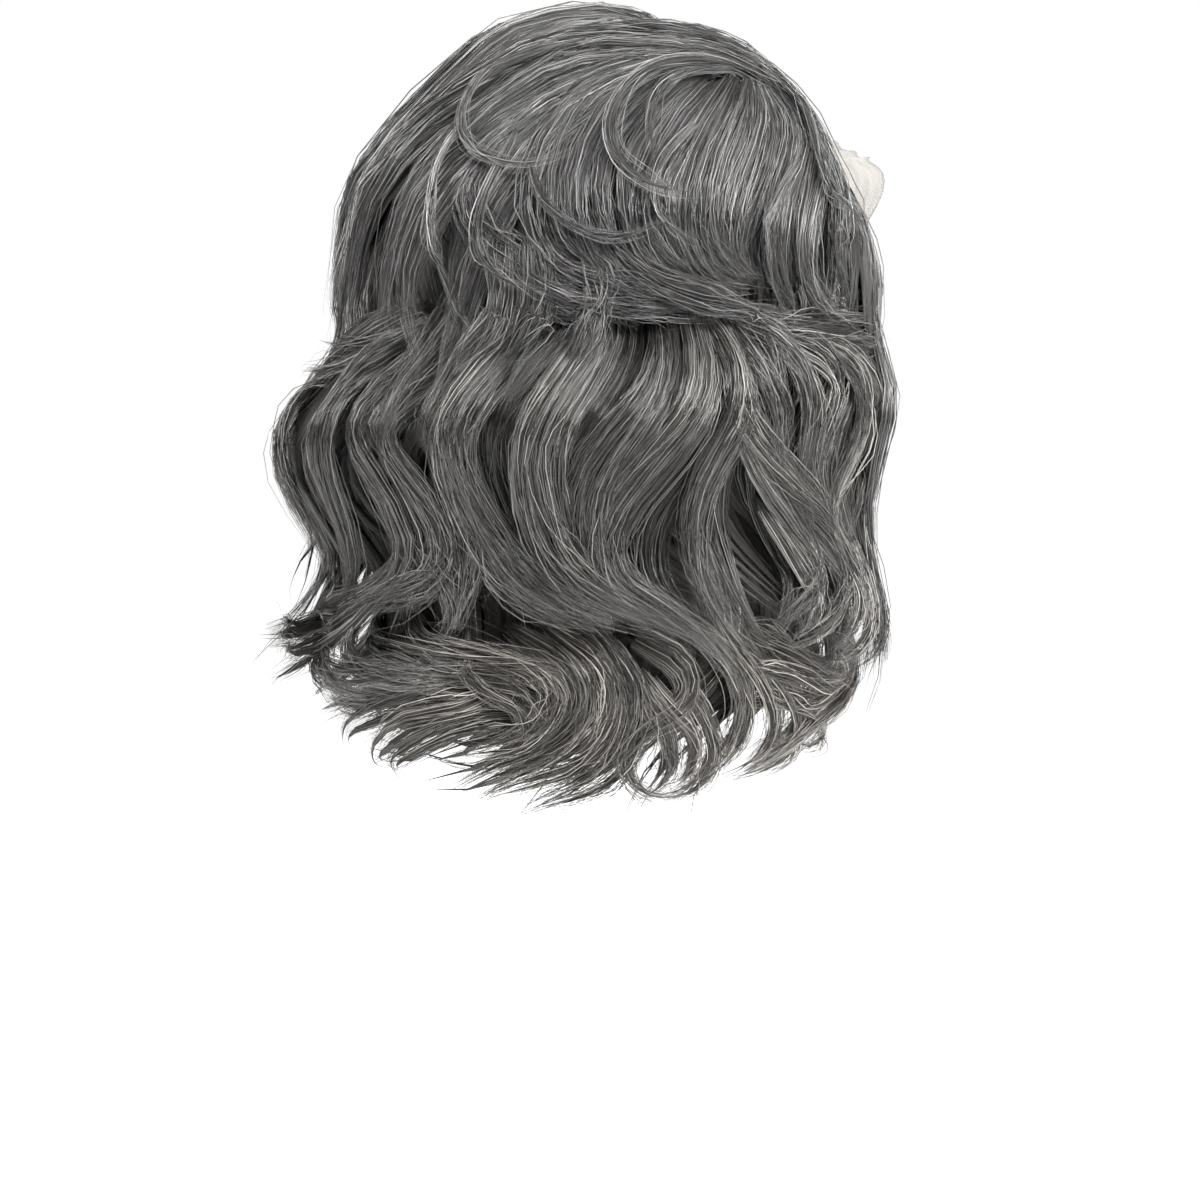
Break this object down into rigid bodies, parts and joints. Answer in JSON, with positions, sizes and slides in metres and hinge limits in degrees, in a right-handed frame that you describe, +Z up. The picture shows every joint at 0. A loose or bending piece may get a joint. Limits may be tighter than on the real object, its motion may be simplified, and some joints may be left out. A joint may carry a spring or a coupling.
{
  "type": "long curly wig",
  "caption": "Long grey curly wig with layered wavy locks on a stretch cap, a side parting and a lace strip along the front hairline.",
  "frame": {"origin": "top of the head inside the cap", "axes": "+Z up, the wearer faces -Y, +X towards the wearer's left"},
  "size_m": [0.2457, 0.24, 0.3281],
  "materials": {
    "cap_net": "dark grey stretch net",
    "lace": "pale sheer lace net",
    "hair_low": "dark grey fibre hair, slightly warm at the tips",
    "hair_mid": "mixed grey fibre hair with a soft sheen",
    "hair_top": "lighter mixed grey fibre hair with a soft sheen"
  },
  "bodies": {
    "root": {"cap": "cap_net", "lace_front": "lace", "nape_hair": "hair_low", "back_hair": "hair_mid", "left_side_hair": "hair_mid", "right_side_hair": "hair_mid", "crown_hair": "hair_top", "front_hair": "hair_top"}
  },
  "joints": []
}
